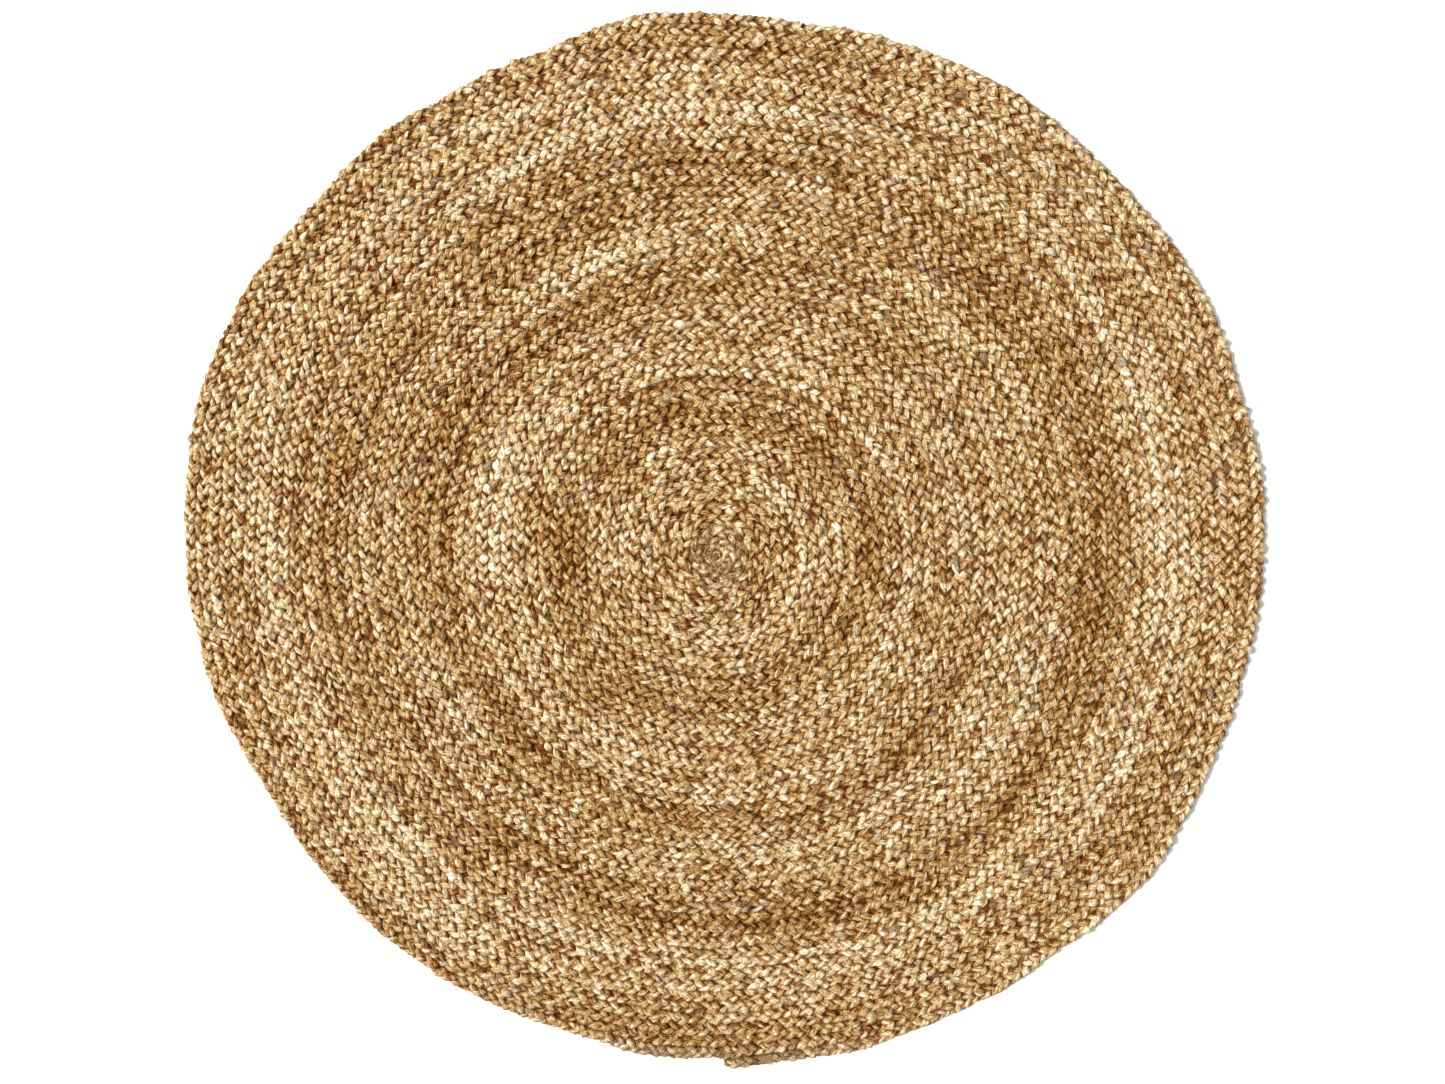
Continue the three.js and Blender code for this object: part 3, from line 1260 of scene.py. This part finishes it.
@dataclass
class LooseFibres:
    """Stray fibres, slivers of bark and fuzz that stand out of the braid."""

    coil: Coil
    crops: tuple[Crop, ...]
    stations: int = 6
    sides: int = 3
    lowest: float = 0.4 * MM
    waves: Pair = (0.5, 2.0)
    arch: float = 0.8
    tip: float = 0.25
    tip_part: float = 0.02
    spindle: float = 0.45
    # A fixed depth near the crowns, so the fibres take the painted crown light of the jute finish.
    depth: float = 0.85
    tone: float = 0.6
    greyness: float = 0.6
    girth: float = 1.0 * MM
    seed: int = 1207

    def lines(self, crop: Crop, draw: np.random.Generator) -> Array:
        """Middle lines of a crop's fibres.

        A fibre runs straight along its heading, bends sideways with the square of the way
        along, waves as a sine, and arches in height as half a sine.

        Args:
            crop: The kind of fibre.
            draw: Seeded draw.

        Returns:
            Points, by fibre, station and axis.
        """
        low, high = (float(self.coil.radius(np.array(turn), 0.5)) for turn in crop.turns)
        radius = np.sqrt(draw.uniform(low**2, high**2, crop.count))
        turns = (radius - self.coil.curl_radius) / self.coil.pitch - 0.5
        shares = draw.uniform(*crop.shares, crop.count)
        root = self.coil.place(turns, shares, draw.uniform(*crop.heights, crop.count))
        bearing = self.coil.bearing(turns)
        turned = crop.heading + draw.normal(0.0, crop.spread, crop.count)
        turned += math.pi * (draw.random(crop.count) < 0.5) * crop.both_ways
        ahead = np.stack([np.sin(bearing + turned), -np.cos(bearing + turned), 0.0 * bearing], axis=-1)
        aside = np.stack([-ahead[:, 1], ahead[:, 0], 0.0 * bearing], axis=-1)
        part = np.linspace(0.0, 1.0, self.stations)
        length = draw.uniform(*crop.lengths, crop.count)[:, None]
        bend = draw.normal(0.0, crop.bend, crop.count)[:, None]
        waves = draw.uniform(*self.waves, crop.count)[:, None]
        start = draw.uniform(0.0, TURN, crop.count)[:, None]
        side = length * (bend * part**2 + crop.wave * np.sin(TURN * waves * part + start))
        lift = draw.uniform(*crop.lifts, crop.count)[:, None] * np.sin(math.pi * self.arch * part)
        line = root[:, None] + (length * part)[..., None] * ahead[:, None]
        line = line + side[..., None] * aside[:, None]
        line[..., 2] = np.maximum(line[..., 2] + lift, self.lowest)
        return line

    def build(self, finishes: dict[Hank, Material]) -> None:
        """Makes every crop as one piece.

        Args:
            finishes: Material of each hank.
        """
        for number, crop in enumerate(self.crops):
            draw = np.random.default_rng(self.seed + number)
            line = self.lines(crop, draw)
            part = np.clip(np.linspace(0.0, 1.0, self.stations), self.tip_part, 1.0 - self.tip_part)
            taper = self.tip + (1.0 - self.tip) * np.sin(math.pi * part) ** self.spindle
            radius = 0.5 * draw.uniform(*crop.thickness, crop.count)[:, None] * taper
            rings = sweep(line, radius, self.sides, UP)
            every = np.ones(rings.shape[:3])
            tone = draw.normal(0.0, self.tone, crop.count)[:, None, None]
            grey = (draw.random(crop.count) < crop.grey)[:, None, None] * self.greyness
            numbers = {
                "depth": every * self.depth,
                "tone": every * tone,
                "greyness": every * grey,
                "bark": every * crop.bark,
            }
            surface = gather_tubes(rings, numbers, self.girth)
            add_piece(crop.name, surface, finishes[crop.hank], crop.hank.value)


def mm(low: float, high: float) -> Pair:
    """A range in metres, from its two ends in millimetres."""
    return low * MM, high * MM


CROPS = (
    Crop(
        "stray_fibres", Hank.STRAW, 3600, turns=(1.0, 44.0), shares=(0.05, 0.95), lengths=mm(7, 24),
        thickness=mm(0.24, 0.42), heights=mm(9.2, 10.4), lifts=mm(0.2, 1.6), spread=0.5, bend=0.25,
    ),
    Crop(
        "bark_slivers", Hank.AMBER, 1100, turns=(0.5, 44.0), shares=(0.12, 0.88), lengths=mm(5, 13),
        thickness=mm(0.5, 0.9), heights=mm(9.6, 10.4), lifts=mm(0.1, 0.4), spread=0.4, bend=0.15,
        wave=0.02, bark=0.85,
    ),
    Crop(
        "rim_fuzz", Hank.STRAW, 1100, turns=(43.0, 44.0), shares=(0.9, 0.99), lengths=mm(4, 13),
        thickness=mm(0.16, 0.3), heights=mm(1.5, 8.0), lifts=mm(-0.5, 2.0), heading=-1.3,
        both_ways=False, bend=0.5, wave=0.08,
    ),
    Crop(
        "curl_fuzz", Hank.HONEY, 330, turns=(-0.95, 1.1), shares=(0.0, 1.0), lengths=mm(5, 12),
        thickness=mm(0.35, 0.7), heights=mm(8.4, 9.9), lifts=mm(0.1, 0.8), spread=0.5, bend=0.45,
        grey=0.0,
    ),
    Crop(
        "tail_fuzz", Hank.TAIL, 260, turns=(43.98, 44.027), shares=(0.1, 0.9), lengths=mm(5, 12),
        thickness=mm(0.25, 0.5), heights=mm(6.5, 9.6), lifts=mm(0.2, 1.6), spread=0.35, bend=0.3,
    ),
    Crop(
        "row_end_fuzz", Hank.TAIL, 200, turns=(43.022, 43.07), shares=(0.2, 0.98), lengths=mm(5, 16),
        thickness=mm(0.25, 0.5), heights=mm(8.0, 10.0), lifts=mm(0.2, 1.4), spread=0.4,
    ),
    Crop(
        "tail_fray", Hank.TAIL, 60, turns=(44.024, 44.0275), shares=(0.2, 0.55), lengths=mm(5, 12),
        thickness=mm(0.25, 0.45), heights=mm(2.5, 6.5), lifts=mm(-1.0, 1.5), spread=0.22,
        both_ways=False, bend=0.25, wave=0.04,
    ),
)


# --- Studio ------------------------------------------------------------------------------


@dataclass(frozen=True)
class Lamp:
    """One square soft light, aimed at the middle of the floor."""

    name: str
    power: float
    size: float
    place: Triple
    colour: Triple = (1.0, 1.0, 1.0)


@dataclass
class Studio:
    """Camera, pale floor and soft lights."""

    camera_place: Triple = (0.0455, 0.1038, 1.229)
    camera_aim: Triple = (0.0078, 0.0149, 0.010)
    lens: float = 27.06
    sensor: float = 36.0
    floor_size: float = 16.0
    floor_colour: Triple = (0.92, 0.92, 0.915)
    floor_roughness: float = 0.7
    sky_strength: float = 0.36
    lamps: tuple[Lamp, ...] = (
        Lamp("key_light", 1180.0, 1.8, (-6.25, 0.9, 7.0), (1.0, 0.99, 0.97)),
        Lamp("overhead_fill", 130.0, 5.0, (3.0, -0.5, 8.0)),
    )

    def set_camera(self) -> None:
        """Stands the camera up: its back along aim to camera, its right level with X."""
        place, aim = Vector(self.camera_place), Vector(self.camera_aim)
        back = (place - aim).normalized()
        right = Vector((0.0, 1.0, 0.0)).cross(back).normalized()
        up = back.cross(right)
        data = bpy.data.cameras.new("camera")
        data.lens = self.lens
        data.sensor_width = self.sensor
        camera = bpy.data.objects.new("camera", data)
        camera.matrix_world = Matrix.Translation(place) @ Matrix((right, up, back)).transposed().to_4x4()
        bpy.context.scene.collection.objects.link(camera)
        bpy.context.scene.camera = camera

    def lay_floor(self) -> None:
        """Lays one pale square under the rug."""
        half = 0.5 * self.floor_size
        mesh = bpy.data.meshes.new("floor")
        corners = [(-half, -half, 0.0), (half, -half, 0.0), (half, half, 0.0), (-half, half, 0.0)]
        mesh.from_pydata(corners, [], [(0, 1, 2, 3)])
        sockets = {"Base Color": (*self.floor_colour, 1.0), "Roughness": self.floor_roughness}
        mesh.materials.append(Bench("pale_floor").finished(sockets))
        floor = bpy.data.objects.new("floor", mesh)
        bpy.context.scene.collection.objects.link(floor)

    def hang_lights(self) -> None:
        """Hangs the lamps, each aimed at the rug, and lights the sky an even white."""
        for lamp in self.lamps:
            data = bpy.data.lights.new(lamp.name, "AREA")
            data.energy = lamp.power
            data.size = lamp.size
            data.color = lamp.colour
            light = bpy.data.objects.new(lamp.name, data)
            light.location = lamp.place
            light.rotation_euler = Vector(lamp.place).to_track_quat("Z", "Y").to_euler()
            bpy.context.scene.collection.objects.link(light)
        world = bpy.data.worlds.new("sky")
        world.use_nodes = True
        sky = world.node_tree.nodes["Background"]
        sky.inputs["Color"].default_value = (1.0, 1.0, 1.0, 1.0)
        sky.inputs["Strength"].default_value = self.sky_strength
        bpy.context.scene.world = world
        bpy.context.scene.view_settings.view_transform = "Standard"


# --- The rug -----------------------------------------------------------------------------


def main() -> None:
    studio = Studio()
    studio.set_camera()
    coil = Coil()
    plait = Plait(coil)
    low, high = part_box("round_01")
    finishes = {finish.hank: finish.material() for finish in FINISHES}
    twine = LACING_TWINE.material()
    whipping_twine = WHIPPING_TWINE.material()
    braid = Braid(coil, plait, low.z, high.z)
    braid.build(finishes)
    CurlCore().build(finishes[Hank.HONEY])
    Lacing(coil, plait, braid.middle).build(twine)
    Whipping(coil, plait, braid.middle).build(whipping_twine)
    LooseFibres(coil, CROPS).build(finishes)
    studio.lay_floor()
    studio.hang_lights()


if __name__ == "__main__":
    main()
